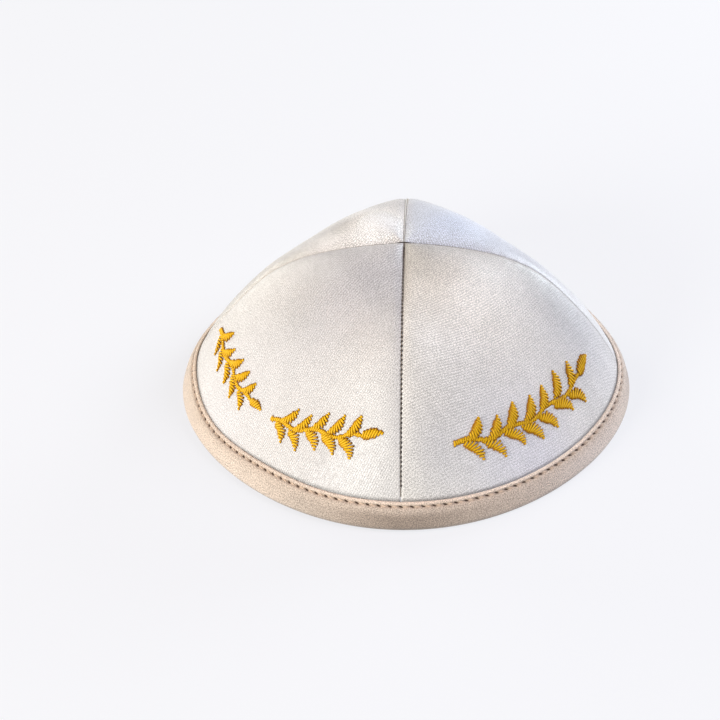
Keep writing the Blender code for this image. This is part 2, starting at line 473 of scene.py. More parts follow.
SPRIGS = {
    "embroidery_left": [
        Sprig(start=-175, end=-143, ends_out=0.826, middle_out=0.818, pairs=5, leaf=7.6 * MM),
        Sprig(start=-134, end=-100, ends_out=0.822, middle_out=0.812, pairs=5, leaf=8.6 * MM),
    ],
    "embroidery_right": [
        Sprig(start=-75, end=-19, ends_out=0.836, middle_out=0.812, pairs=7, leaf=9.8 * MM),
    ],
}
LEAF_WIDTH_SHARE = 0.48
LEAF_TURN = math.radians(48)
LEAF_CURL = 0.16
STEM_WIDTH = 1.5 * MM
STEM_SWAY = 0.9 * MM
SATIN_SPACING = 0.88 * MM
SATIN_SLANT = math.radians(24)
SATIN_RAISE = 0.55 * MM
SATIN_RAGGED = 0.16 * MM
GOLD_RADIUS = 0.47 * MM

# Fineness of a leaf's and a stem's middle line, how far along the stem its leaves go, how thin a
# leaf gets, how deep its stitches start, and how wide a stroke is where they arch in full
LEAF_POINTS = 60
STEM_POINTS = 200
STEM_SHARE = 0.94
LEAF_PLACE = 0.55
LEAST_HALF_WIDTH = 0.3 * MM
SATIN_SINK = 0.14 * MM
FULL_ARCH_WIDTH = 1.5 * MM
LEAST_ARCH = 0.45


class Lamp(NamedTuple):
    """A soft lamp: its direction round the cap and above the floor in degrees, its distance and
    size in metres, its power in watts and its colour."""

    name: str
    azimuth: float
    elevation: float
    distance: float
    size: float
    power: float
    colour: tuple


LAMPS = [
    Lamp("front_left_softbox", -135, 15, 1.2, 0.7, 19.2, (1.0, 1.0, 0.94)),
    Lamp("left_warm_fill", 180, 45, 1.2, 0.7, 3.0, (1.0, 0.58, 0.34)),
    Lamp("right_softbox", 0, 45, 1.2, 0.7, 11.2, (0.92, 0.91, 1.0)),
    Lamp("back_right_softbox", 45, 15, 1.2, 0.7, 12.6, (0.85, 0.94, 1.0)),
    Lamp("back_left_softbox", 135, 15, 1.2, 0.7, 6.8, (0.97, 1.0, 0.92)),
]
WORLD_COLOUR = (0.93, 0.94, 1.0, 1.0)
WORLD_STRENGTH = 0.06
SENSOR_WIDTH = 36
CLIP_START = 0.01
FLOOR_GLOW = (0.949, 0.957, 1.0, 1.0)
FLOOR_GLOW_STRENGTH = 0.732
FLOOR_SIZE = 8.0


def _length(name, description, default_mm):
    return bpy.props.FloatProperty(
        name=name, description=description, default=default_mm * MM, unit="LENGTH", precision=5
    )


def _colour(name, description, default):
    return bpy.props.FloatVectorProperty(
        name=name, description=description, default=default, size=4, subtype="COLOR", min=0, max=1
    )


def _angle(name, description, default_degrees):
    return bpy.props.FloatProperty(
        name=name, description=description, default=math.radians(default_degrees), subtype="ANGLE"
    )


class KippahSizes(bpy.types.PropertyGroup):
    """The sizes that the gores, the binding and the thread are worked out from."""

    rim_radius: _length("Rim radius", "Radius of the crown's outer face at the rim", 86.0)
    crown_height: _length("Crown height", "Height of the plain crown above the floor", 66.9)
    gore_wall: _length("Gore wall", "Thickness of the satin with its backing", 1.6)
    seam_gap: _length("Seam gap", "Space between two gores", 0.3)
    binding_cover: _length("Binding cover", "How far the binding covers the gores", 8.9)
    binding_cloth: _length("Binding cloth", "Thickness of the folded strip", 1.1)
    binding_gap: _length("Binding gap", "Space between the binding and the gores", 0.3)
    lip_width: _length("Lip width", "Width of the raised lip above the stitches", 1.25)
    thread_radius: _length("Thread radius", "Radius of the sewing thread", 0.19)


class KippahColours(bpy.types.PropertyGroup):
    """The colours of the cloths and threads."""

    satin: _colour("Satin", "Ivory of the gores", (0.536, 0.514, 0.497, 1.0))
    binding: _colour("Binding", "Champagne of the folded strip", (0.45, 0.365, 0.302, 1.0))
    binding_thread: _colour("Binding thread", "Thread on the binding", (0.58, 0.44, 0.34, 1.0))
    seam_thread: _colour("Front seam thread", "Thread in the front seam", (0.05, 0.04, 0.035, 1.0))
    front_core: _colour("Front seam core", "Thread that closes the front seam", (0.28, 0.23, 0.18, 1.0))
    pale_thread: _colour("Pale thread", "Thread in the side seams", (0.33, 0.28, 0.24, 1.0))
    white_thread: _colour("White thread", "Thread over the back seam", (0.72, 0.71, 0.69, 1.0))
    grey_thread: _colour("Grey thread", "Thread in the back seam", (0.62, 0.61, 0.58, 1.0))
    gold: _colour("Gold", "Embroidery thread", (0.69, 0.405, 0.006, 1.0))
    floor: _colour("Floor", "Pale floor", (0.18, 0.18, 0.18, 1.0))


class KippahView(bpy.types.PropertyGroup):
    """The camera's place, as a distance and angles round a point that it aims at."""

    distance: _length("Distance", "From the camera to the point that it aims at", 758.8)
    elevation: _angle("Elevation", "Above the floor", 37.5)
    turn: _angle("Turn", "Round the cap from the front", 3.11)
    roll: _angle("Roll", "Of the image, clockwise", 1.60)
    lens: bpy.props.FloatProperty(
        name="Lens", description="Focal length on a 36 mm sensor, in mm", default=96.3
    )
    aim_x: _length("Aim across", "Sideways place of the point aimed at", -17.8)
    aim_z: _length("Aim height", "Height of the point aimed at", 11.0)


# Shape of the crown


def rim_height(sizes):
    """Height of the gores' lower edge, which stands in the binding's fold."""
    fold = sizes.gore_wall / 2 + sizes.binding_gap + sizes.binding_cloth
    return fold - RIM_FLATTENED + sizes.gore_wall / 2 * math.cos(RIM_SLOPE)


def smooth_through(x, table_x, table_y):
    """A curve through the table's points, carried straight on past its last point."""
    slopes = np.gradient(table_y, table_x)
    inside = np.clip(x, table_x[0], table_x[-1])
    row = np.clip(np.searchsorted(table_x, inside) - 1, 0, len(table_x) - 2)
    step = table_x[row + 1] - table_x[row]
    t = (inside - table_x[row]) / step
    start = (1 + 2 * t) * (1 - t) ** 2 * table_y[row]
    leave = t * (1 - t) ** 2 * step * slopes[row]
    end = t**2 * (3 - 2 * t) * table_y[row + 1]
    arrive = t**2 * (t - 1) * step * slopes[row + 1]
    return start + leave + end + arrive + (x - inside) * slopes[-1]


def plan_share(azimuth):
    """How far out the rim lies in this direction, as a share of its radius."""
    share = 1 + RIM_SQUARENESS * np.cos(4 * azimuth)
    for nip in NIPS:
        away = (np.degrees(azimuth) - nip.azimuth + 180) % 360 - 180
        share = share - nip.depth * np.exp(-((away / nip.spread) ** 2))
    return share


def crown_meridian(share, azimuth, sizes):
    """Radius and height of the crown's outer face, without its grooves and dents."""
    rows = np.array(PROFILE)
    swell = np.abs(np.sin(2 * azimuth)) ** SWELL_POWER
    seam = smooth_through(share, rows[:, 0], rows[:, 1])
    gore = smooth_through(share, rows[:, 0], rows[:, 2])
    height_share = seam * (1 - swell) + gore * swell
    uneven = (plan_share(azimuth) - 1) * np.clip(share, 0, 1) ** 2
    radius = sizes.rim_radius * share * (1 + uneven)
    rim = rim_height(sizes)
    return radius, rim + (sizes.crown_height - rim) * height_share


def smooth_step(x):
    t = np.clip(x, 0, 1)
    return t**2 * (3 - 2 * t)


def turn_from(middle, azimuth):
    """The turn from one direction to others, within half a turn either way."""
    return (azimuth - middle + math.pi) % math.tau - math.pi


def nearness(x, y, spot, sizes):
    """How near places in plan are to the middle of a dent or a soft patch, from 0 to 1."""
    angle = math.radians(spot.azimuth)
    away_x = x / sizes.rim_radius - spot.reach * math.cos(angle)
    away_y = y / sizes.rim_radius - spot.reach * math.sin(angle)
    return np.exp(-(away_x**2 + away_y**2) / spot.spread**2)


def drop_of(x, y, share, sizes):
    """How far the seams' grooves and the dents lie below the plain crown."""
    to_seam = np.minimum(np.abs(x), np.abs(y))
    drop = SEAM_DEPTH * np.exp(-((to_seam / SEAM_SPREAD) ** 2))
    for dent in DENTS:
        drop += sizes.crown_height * dent.depth * nearness(x, y, dent, sizes)
    return drop * smooth_step((sizes.rim_radius * (1 - share) - sizes.binding_cover) / BINDING_FADE)


def crown_place(share, azimuth, sizes):
    """Points of the crown's outer face."""
    radius, height = crown_meridian(share, azimuth, sizes)
    x = radius * np.cos(azimuth)
    y = radius * np.sin(azimuth)
    return np.stack([x, y, height - drop_of(x, y, share, sizes)], axis=-1)


def unit(vectors):
    return vectors / np.linalg.norm(vectors, axis=-1, keepdims=True)


def crown_frame(share, azimuth, sizes, step=1e-3):
    """Points of the crown's outer face, with the ways out, downhill and round there."""
    safe = np.maximum(share, 8 * step)
    place = crown_place(share, azimuth, sizes)
    down = crown_place(safe + step, azimuth, sizes) - crown_place(safe - step, azimuth, sizes)
    across = crown_place(safe, azimuth + step, sizes) - crown_place(safe, azimuth - step, sizes)
    down_rate = np.linalg.norm(down, axis=-1) / (2 * step)
    across_rate = np.linalg.norm(across, axis=-1) / (2 * step)
    return place, unit(np.cross(down, across)), down_rate, across_rate


def painted_light_tint(x, y, patches, sizes):
    """How soft patches of painted light and shade change a cloth's red, green and blue at places in
    plan.
    """
    tint = np.ones(x.shape + (3,))
    for patch in patches:
        tint *= 1 + nearness(x, y, patch, sizes)[..., None] * (np.array(patch.tint) - 1)
    return tint


def slow_waves(x, y, lengths, seed):
    """A soft uneven height from -1 to 1, worked out from crossing waves."""
    draw = np.random.default_rng(seed)
    total = np.zeros_like(x)
    for length in lengths:
        for turn in draw.uniform(0, math.tau, 3):
            along = (x * math.cos(turn) + y * math.sin(turn)) / length
            total += np.sin(math.tau * along + draw.uniform(0, math.tau))
    return total / (3 * len(lengths))


# Meshes and objects


def new_piece(name, vertices, faces, uv, marks):
    """A mesh object at the origin, with a UV place and named values at each vertex."""
    mesh = bpy.data.meshes.new(name)
    mesh.from_pydata(vertices.tolist(), [], faces)
    corners = np.empty(len(mesh.loops), dtype=np.int32)
    mesh.loops.foreach_get("vertex_index", corners)
    layer = mesh.uv_layers.new(name="UVMap")
    layer.data.foreach_set("uv", np.asarray(uv, dtype=np.float32)[corners].ravel())
    for mark, values in marks.items():
        values = np.asarray(values, dtype=np.float32)
        kind, field = ("FLOAT_VECTOR", "vector") if values.shape[-1] == 3 else ("FLOAT", "value")
        mesh.attributes.new(mark, kind, "POINT").data.foreach_set(field, values.ravel())
    mesh.validate()
    mesh.shade_smooth()
    obj = bpy.data.objects.new(name, mesh)
    bpy.context.scene.collection.objects.link(obj)
    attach(obj, BODY)
    return obj


def grid_faces(rows, columns, first=0):
    """Quads between neighbours of a grid of vertices that is numbered row by row."""
    row, column = np.meshgrid(np.arange(rows - 1), np.arange(columns - 1), indexing="ij")
    corner = (first + row * columns + column).ravel()
    return np.stack([corner, corner + 1, corner + columns + 1, corner + columns], axis=1)


def recalculate_outwards(obj):
    """Turns every face of a closed mesh outwards."""
    shape = bmesh.new()
    shape.from_mesh(obj.data)
    bmesh.ops.recalc_face_normals(shape, faces=shape.faces)
    shape.to_mesh(obj.data)
    shape.free()


def gore_relief(gore, x, y, share, azimuth, sizes):
    """How far the satin lies above the plain crown: waves, puckers and rolled seam edges."""
    to_seam = np.minimum(np.abs(x), np.abs(y)) - sizes.seam_gap / 2
    to_lip = sizes.rim_radius * (1 - share) - sizes.binding_cover
    along_seam = np.maximum(np.abs(x), np.abs(y))
    by_seam = np.exp(-((to_seam / PUCKER_REACH) ** 2)) * smooth_step(to_seam / SEAM_ROLL_WIDTH)
    swell_length = PUCKERS_IN_SWELL * PUCKER_LENGTH
    swell = 1 - PUCKER_SWELL + PUCKER_SWELL * np.sin(math.tau * along_seam / swell_length)
    pucker = PUCKER_DEPTH * swell * np.sin(math.tau * along_seam / PUCKER_LENGTH) * by_seam
    by_lip = np.exp(-((to_lip / LIP_PUCKER_REACH) ** 2))
    pucker += LIP_PUCKER_DEPTH * by_lip * np.sin(STITCHES / 2 * azimuth + 2 * np.sin(5 * azimuth))
    waves = WAVE_DEPTH * slow_waves(x, y, WAVE_LENGTHS, seed=GORES.index(gore))
    waves *= smooth_step(to_seam / (4 * PUCKER_REACH)) * smooth_step(to_lip / BINDING_FADE)
    roll = SEAM_ROLL_DEPTH * np.exp(-((to_seam / SEAM_ROLL_WIDTH) ** 2))
    return waves + pucker * smooth_step(share / CALM_TOP) - roll


def gore_marks(gore, x, y, share, azimuth, down_rate, sizes):
    """The values at a gore's outer vertices that its material reads."""
    front_right = gore.name == "panel_front_right"
    to_seam = np.minimum(np.abs(x), np.abs(y)) - sizes.seam_gap / 2
    # Painted shade beside the upper front seam, on the front right gore
    by_front_seam = np.exp(-((x / FRONT_SHADE_REACH) ** 2))
    by_front_seam *= smooth_step((FRONT_SHADE_END - share) / FRONT_SHADE_FADE) * front_right
    # Height above the binding's lip, which sets the painted shadow there
    above_lip = (1 - share) * down_rate - cover_at(azimuth, sizes)
    from_clear = turn_from(CLEAR_AZIMUTH, azimuth)
    above_lip += CLEAR_BY * np.exp(-((from_clear / CLEAR_SPREAD) ** 2))
    seed = MOTTLE_SEED + GORES.index(gore)
    # The cloth's own slow random mottle of tone
    mottle_and_side_shade = 1 + LUSTRE_MOTTLE * slow_waves(x, y, MOTTLE_LENGTHS, seed=seed)
    row_show = np.full_like(share, PLAIN_ROWS)
    if front_right:
        # Painted shade on the front right gore beside its side seam
        mottle_and_side_shade *= 1 - SIDE_PAINTED_SHADE * np.exp(-((y / SIDE_PAINTED_SHADE_REACH) ** 2))
        from_rows_x = share * np.cos(azimuth) - ROWS_REACH * math.cos(ROWS_AZIMUTH)
        from_rows_y = share * np.sin(azimuth) - ROWS_REACH * math.sin(ROWS_AZIMUTH)
        near_rows = np.exp(-(from_rows_x**2 + from_rows_y**2) / ROWS_SPREAD**2)
        row_show = ROWS_LEAST + (1 - ROWS_LEAST) * near_rows
    return {
        "nap": NAP_AT_RIM + (NAP_AT_TOP - NAP_AT_RIM) * (1 - share) ** NAP_FALL,
        "row_show": row_show,
        "above_lip": np.clip(above_lip, -LIP_SHADOW, LIP_SHADOW),
        # Where painted shade falls along the seams
        "near_seam": np.exp(-((to_seam / SEAM_SHADE_REACH) ** 2)),
        "near_front_seam": by_front_seam,
        # Painted light and shade patches, times the random mottle and the side seam's painted shade
        "lustre": painted_light_tint(x, y, PAINTED_LIGHT_PATCHES[gore.name], sizes) * mottle_and_side_shade[..., None],
    }


def gore_mesh(gore, sizes):
    """A gore's closed cloth: its outer face with rolled edges and puckers, its plain inner face
    and the strips that join them."""
    line = np.linspace(0, 1, GORE_CELLS + 1)
    crowded = line**SEAM_CROWDING * (1 + RIM_CROWDING * (1 - line))
    edge = sizes.seam_gap / 2 / sizes.rim_radius
    spaced = edge + (1 - edge) * crowded
    plan_x, plan_y = np.meshgrid(spaced * gore.side, spaced * gore.front, indexing="ij")
    share = np.maximum(np.abs(plan_x), np.abs(plan_y))
    azimuth = np.arctan2(plan_y, plan_x)
    place, out, down_rate, _ = crown_frame(share, azimuth, sizes)
    x, y = place[..., 0], place[..., 1]
    outer = place + out * gore_relief(gore, x, y, share, azimuth, sizes)[..., None]
    inner = place - out * sizes.gore_wall
    vertices = np.concatenate([outer.reshape(-1, 3), inner.reshape(-1, 3)])
    side = len(line)
    count = side * side
    rim = np.concatenate(
        [
            np.arange(side),
            np.arange(side - 1, count, side)[1:],
            np.arange(count - 1, count - side - 1, -1)[1:],
            np.arange(count - side, -1, -side)[1:],
        ]
    )
    wall = np.stack([rim[:-1] + count, rim[1:] + count, rim[1:], rim[:-1]], axis=1)
    top = grid_faces(side, side)
    under = grid_faces(side, side, first=count)[:, ::-1]
    uv = flat_places(share, azimuth, gore, sizes).reshape(-1, 2)
    marks = {}
    for name, values in gore_marks(gore, x, y, share, azimuth, down_rate, sizes).items():
        outer_values = values.reshape(count, -1).squeeze()
        marks[name] = np.concatenate([outer_values, outer_values])
    faces = np.concatenate([top, under, wall]).tolist()
    obj = new_piece(gore.name + "_satin", vertices, faces, np.tile(uv, (2, 1)), marks)
    recalculate_outwards(obj)
    return obj


def flat_places(share, azimuth, gore, sizes):
    """Where points of a gore lie on its flat cut, along and across its middle, in metres."""
    shares = np.linspace(0, 1, 161)
    middle = math.radians(gore.middle)
    radius, height = crown_meridian(shares, np.full_like(shares, middle), sizes)
    lengths = np.append(0, np.cumsum(np.hypot(np.diff(radius), np.diff(height))))
    reach = np.interp(share, shares, lengths)
    turn = FLAT_TURN * turn_from(middle, azimuth)
    return np.stack([reach * np.cos(turn), reach * np.sin(turn)], axis=-1)


# Binding


def cover_at(azimuth, sizes):
    """How far up the binding reaches, with the places where its strip is wider or narrower."""
    cover = sizes.binding_cover + 0 * azimuth
    for change in COVER_CHANGES:
        away = turn_from(math.radians(change.azimuth), azimuth)
        cover = cover + change.extra * np.exp(-((away / math.radians(change.spread)) ** 2))
    return cover


def slope_table(azimuth, sizes):
    """Along one meridian: rises above the gores' lower edge, with radius and height there."""
    margin = SLOPE_REACH * sizes.binding_cover / sizes.rim_radius
    shares = np.linspace(1 - margin, 1 + margin, SLOPE_SAMPLES)
    radius, height = crown_meridian(shares, np.full_like(shares, azimuth), sizes)
    rises = np.append(0, np.cumsum(np.hypot(np.diff(radius), np.diff(height))))
    rises = np.interp(1, shares, rises) - rises
    return rises, radius, height


def on_rim(rise, offset, azimuth, sizes):
    """Places of a strip's points, by their rise above the gores' lower edge and their offset
    out from the gores' outer face, at one azimuth."""
    rises, radius, height = slope_table(azimuth, sizes)
    slope_r = np.interp(-rise, -rises, np.gradient(radius, -rises))
    slope_z = np.interp(-rise, -rises, np.gradient(height, -rises))
    out = np.interp(-rise, -rises, radius) - offset * slope_z
    up = np.interp(-rise, -rises, height) + offset * slope_r
    return np.stack([out * math.cos(azimuth), out * math.sin(azimuth), np.maximum(up, 0)], axis=-1)


def stitch_rise(cover, sizes):
    """How far above the gores' lower edge the stitches run."""
    return cover - sizes.lip_width - GROOVE_WIDTH * GROOVE_BELOW_LIP


def hole_depth(rise, cover, hole, sizes):
    """How deep in a stitch hole each rise lies, from 0 to 1, at a way from the hole's middle."""
    middle = stitch_rise(cover, sizes) + PIT_SLANT * hole
    return np.exp(-((hole / PIT_LENGTH) ** 2) - ((rise - middle) / PIT_WIDTH) ** 2)


def outer_offset(rise, cover, hole, pucker, wave, sizes):
    """The binding's outer face, as an offset from the gores: rounded lip, groove and band."""
    groove_at = stitch_rise(cover, sizes)
    offset = sizes.binding_gap + sizes.binding_cloth + 0 * rise
    dip = np.exp(-(((rise - groove_at) / GROOVE_WIDTH) ** 2))
    offset -= GROOVE_DEPTH * dip
    offset -= PIT_DEPTH * hole_depth(rise, cover, hole, sizes)
    down = np.clip((groove_at - rise) / groove_at, 0, 1)
    offset += PLUMPNESS * np.sin(math.pi * down**PLUMP_HIGH)
    puckered = np.exp(-((down / BAND_PUCKER_REACH) ** 2)) * smooth_step(down / BAND_PUCKER_RISE)
    offset += BAND_PUCKER * pucker * puckered
    offset += BAND_WAVE * wave * np.sin(math.pi * down)
    offset -= LIP_TAPER * smooth_step((rise - groove_at - LIP_TAPER_FROM) / sizes.lip_width)
    above = np.clip((rise - cover + LIP_ROUNDING) / LIP_ROUNDING, 0, 1)
    return LIP_EDGE + (offset - LIP_EDGE) * np.sqrt(1 - above**2)


def half_turn(radius, steps, sizes):
    """Points round the gores' lower edge, from the outside under it to the inside."""
    turns = np.linspace(0, math.pi, steps + 1)[1:-1]
    return -radius * np.sin(turns), radius * np.cos(turns) - sizes.gore_wall / 2


def binding_ring(azimuth, hole, pucker, wave, sizes):
    """One ring of the binding's closed outline: its places, how far round the outline they lie,
    and the values there that its material is worked out from."""
    cover = float(cover_at(azimuth, sizes))
    groove_at = stitch_rise(cover, sizes)
    lip = cover - LIP_ROUNDING * (1 - np.cos(np.linspace(0, math.pi / 2, LIP_POINTS)))
    fine = np.linspace(lip[-1], groove_at - 3 * GROOVE_WIDTH, GROOVE_POINTS)[1:]
    band = np.linspace(fine[-1], 0, BAND_POINTS)[1:]
    rise = np.concatenate([lip, fine, band])
    offset = outer_offset(rise, cover, hole, pucker, wave, sizes)
    channel = sizes.gore_wall / 2 + sizes.binding_gap
    fold_rise, fold_offset = half_turn(channel + sizes.binding_cloth, FOLD_STEPS, sizes)
    channel_rise, channel_offset = half_turn(channel, CHANNEL_STEPS, sizes)
    leg = np.array(INNER_LEG)
    leg_rise = leg[:, 0] * (sizes.binding_cover - INNER_LEG_SHORT)
    leg_offset = -sizes.gore_wall - sizes.binding_gap - sizes.binding_cloth * leg[:, 1]
    back_rise = np.array([0, 0.5, 0.97]) * cover
    back_offset = np.array([sizes.binding_gap, sizes.binding_gap, LIP_EDGE])
    rises = np.concatenate([rise, fold_rise, leg_rise, channel_rise[::-1], back_rise])
    offsets = np.concatenate([offset, fold_offset, leg_offset, channel_offset[::-1], back_offset])
    places = on_rim(rises, offsets, azimuth, sizes)
    around = np.append(0, np.cumsum(np.linalg.norm(np.diff(places, axis=0), axis=1)))
    outside = offsets > 0
    # Masks for painted shade in the stitch holes and in the groove, for the painted light patches below
    # the stitches, and for painted shade towards the floor with a painted highlight along the lip
    pit = hole_depth(rises, cover, hole, sizes) * outside
    groove = np.exp(-(((rises - groove_at) / GROOVE_SHADE_REACH) ** 2)) * outside
    below = smooth_step((groove_at - rises) / TINT_RAMP) * outside
    low = smooth_step((LOW_EDGE - places[:, 2]) / LOW_EDGE)
    pale = smooth_step((rises - cover + LIP_HIGHLIGHT_FROM) / LIP_HIGHLIGHT_RAMP) * outside
    return places, around, pit, groove, below, (1 - LOW_SHADE * low) * (1 + LIP_HIGHLIGHT * pale)


def stitch_azimuths():
    """The azimuths of the binding's rings, closer together at each stitch hole."""
    starts = np.arange(STITCHES)[:, None] + np.array(STEPS_IN_STITCH)
    return starts.ravel() * math.tau / STITCHES - math.pi


def binding_mesh(sizes):
    """The folded strip as one closed band of rings round the rim."""
    azimuths = stitch_azimuths()
    stitch_length = math.tau * sizes.rim_radius / STITCHES
    beat = (azimuths + math.pi) * STITCHES / math.tau
    holes = ((beat + 0.5) % 1 - 0.5) * stitch_length
    puckers = np.cos(math.tau * beat)
    circle = sizes.rim_radius * np.array([np.cos(azimuths), np.sin(azimuths)])
    waves = slow_waves(circle[0], circle[1], WAVE_LENGTHS, seed=BAND_WAVE_SEED)
    rings = [
        binding_ring(a, hole, -pucker, wave, sizes)
        for a, hole, pucker, wave in zip(azimuths, holes, puckers, waves)
    ]
    places, around, pit, groove, below, shade = (np.array(part) for part in zip(*rings))
    count, points = places.shape[:2]
    ring, point = np.meshgrid(np.arange(count), np.arange(points), indexing="ij")
    after = (ring + 1) % count
    onward = (point + 1) % points
    quads = np.stack(
        [ring * points + point, ring * points + onward, after * points + onward, after * points + point],
        axis=-1,
    ).reshape(-1, 4)
    along = np.repeat((azimuths + math.pi)[:, None] * sizes.rim_radius, points, axis=1)
    uv = np.stack([along, around], axis=-1).reshape(-1, 2)
    # Painted light and shade on the binding: patches below the stitches, shade towards the floor and a
    # highlight along the lip
    tint = painted_light_tint(places[..., 0], places[..., 1], PAINTED_LIGHT_PATCHES["rim_binding"], sizes)
    lustre = (1 + (tint - 1) * below[..., None]) * shade[..., None]
    marks = {"pit": pit, "groove": groove, "lustre": lustre}
    obj = new_piece("rim_binding_cloth", places.reshape(-1, 3), quads.tolist(), uv, marks)
    recalculate_outwards(obj)
    return obj


# Threads


def thread_tubes(name, paths, outs, radius):
    """Many short threads as one mesh: paths and ways out are arrays of threads by points."""
    threads, points = paths.shape[:2]
    along = unit(np.gradient(paths, axis=1))
    sideways = unit(np.cross(along, outs))
    upright = np.cross(sideways, along)
    turn = np.linspace(0, math.tau, THREAD_SIDES, endpoint=False)
    swell = np.broadcast_to(np.asarray(radius), (threads, points))[..., None, None]
    ring = (
        upright[:, :, None] * np.cos(turn)[:, None] + sideways[:, :, None] * np.sin(turn)[:, None]
    )
    places = (paths[:, :, None] + ring * swell).reshape(-1, 3)
    first = np.arange(threads)[:, None, None] * points * THREAD_SIDES
    point = np.arange(points - 1)[:, None]
    side = np.arange(THREAD_SIDES)
    onward = (side + 1) % THREAD_SIDES
    a = first + point * THREAD_SIDES + side
    b = first + point * THREAD_SIDES + onward
    quads = np.stack([a, b, b + THREAD_SIDES, a + THREAD_SIDES], axis=-1).reshape(-1, 4)
    first_caps = first[:, :, 0] + side[::-1]
    last_caps = first[:, :, 0] + (points - 1) * THREAD_SIDES + side
    faces = quads.tolist() + first_caps.tolist() + last_caps.tolist()
    lengths = np.linalg.norm(np.diff(paths, axis=1), axis=2)
    reach = np.concatenate([np.zeros((threads, 1)), np.cumsum(lengths, axis=1)], axis=1)
    mean_radius = float(np.mean(radius))
    uv = np.stack(
        np.broadcast_arrays(reach[:, :, None], turn[None, None] * mean_radius), axis=-1
    ).reshape(-1, 2)
    t = np.linspace(-1, 1, points)
    # Mask for a thread's painted highlight along its top, with painted shade on its sides and at its
    # ends
    crest = np.broadcast_to((0.5 + 0.5 * np.cos(turn)) * (1 - t**4)[:, None], ring.shape[:3])
    obj = new_piece(name, places, faces, uv, {"crest": crest.ravel()})
    recalculate_outwards(obj)
    return obj


def binding_stitches(sizes):
    """One thread from hole to hole round the binding, lying in its groove."""
    t = np.linspace(0, 1, THREAD_POINTS)
    dive = STITCH_DIVE * (np.abs(2 * t - 1) ** 5)
    paths = np.empty((STITCHES, THREAD_POINTS, 3))
    outs = np.empty_like(paths)
    for stitch in range(STITCHES):
        for point in range(THREAD_POINTS):
            beat = stitch + STITCH_START + STITCH_SHARE * t[point]
            azimuth = beat * math.tau / STITCHES - math.pi
            cover = float(cover_at(azimuth, sizes))
            rise = np.array([stitch_rise(cover, sizes) + STITCH_LEAN * (0.5 - t[point])])
            base = sizes.binding_gap + sizes.binding_cloth - GROOVE_DEPTH
            lift = base + STITCH_LIFT * sizes.thread_radius - dive[point]
            low = on_rim(rise, np.array([lift]), azimuth, sizes)[0]
            high = on_rim(rise, np.array([lift + MM]), azimuth, sizes)[0]
            paths[stitch, point] = low
            outs[stitch, point] = (high - low) / MM
    return thread_tubes("binding_stitches", paths, outs, STITCH_RADIUS)


def seam_line(direction, shares, sizes):
    """Points and ways out along the crown above one seam."""
    azimuth = np.full_like(shares, math.radians(direction))
    place, out, _, _ = crown_frame(shares, azimuth, sizes)
    return place, out


def even_shares(direction, first, last, spacing, sizes):
    """Shares of the radius that lie evenly spaced along a seam."""
    shares = np.linspace(first, last, 600)
    place, _ = seam_line(direction, shares, sizes)
    reach = np.append(0, np.cumsum(np.linalg.norm(np.diff(place, axis=0), axis=1)))
    count = int(reach[-1] / spacing)
    return np.interp((np.arange(count) + 0.5) * spacing, reach, shares)


def seam_core(core, sizes):
    """The thread that lies down in one or more seams and closes them."""
    shares = np.linspace(*CORE_SHARES, CORE_POINTS)
    lines = [seam_line(direction, shares, sizes) for direction in core.directions]
    paths = np.array([place - out * core.depth for place, out in lines])
    outs = np.array([out for _, out in lines])
    return thread_tubes(core.name, paths, outs, core.radius)


def apex_tack(sizes):
    """A short thread across the top, where the front seam ends."""
    shares = np.linspace(-APEX_TACK, APEX_TACK, 2 * THREAD_POINTS)
    azimuth = np.where(shares < 0, math.pi, 0)
    place, out, _, _ = crown_frame(np.abs(shares), azimuth, sizes)
    path = place + out * (TACK_LIFT - TACK_DIVE * (shares / APEX_TACK) ** 4)[:, None]
    return thread_tubes("apex_tack", path[None], out[None], TACK_RADIUS)


def seam_row_threads(row, sizes):
    """The threads of one seam's row, a little uneven in place."""
    draw = np.random.default_rng(len(row.name))
    shares = even_shares(row.direction, *ROW_SHARES, row.spacing, sizes)
    place, out = seam_line(row.direction, shares, sizes)
    angle = math.radians(row.direction)
    outward = np.array([math.cos(angle), math.sin(angle), 0])
    flat = np.array([-math.sin(angle), math.cos(angle), 0])
    along = unit(outward - out * (out @ outward)[:, None])
    t = np.linspace(-1, 1, THREAD_POINTS)
    sway = draw.normal(0, ROW_UNEVENNESS, len(shares))
    side = flat * row.across
    skew = along * (row.along * (1 + sway[:, None]))
    rise = row.lift - ROW_DIVE * t**4
    paths = (
        (place + flat * row.aside)[:, None]
        + (side + skew[:, None]) * t[None, :, None]
        + out[:, None] * rise[None, :, None]
    )
    outs = np.repeat(out[:, None], THREAD_POINTS, axis=1)
    return thread_tubes(row.name, paths, outs, row.radius)


# Embroidery


class Stroke(NamedTuple):
    """Satin-stitched shape: points of its middle line round a place on the crown, in metres
    round and uphill, and its half width at each point."""

    share: float
    azimuth: float
    line: np.ndarray
    half: np.ndarray


def leaf_stroke(share, azimuth, length, width, turn, curl):
    """A curved leaf that starts at a place on the crown."""
    t = np.linspace(0, 1, LEAF_POINTS)
    along = length * t
    bend = curl * length * np.sin(math.pi * t)
    line = np.stack(
        [along * math.cos(turn) - bend * math.sin(turn), along * math.sin(turn) + bend * math.cos(turn)],
        axis=1,
    )
    half = width / 2 * np.sin(math.pi * t**0.85) ** 0.75
    return Stroke(share, azimuth, line, half)


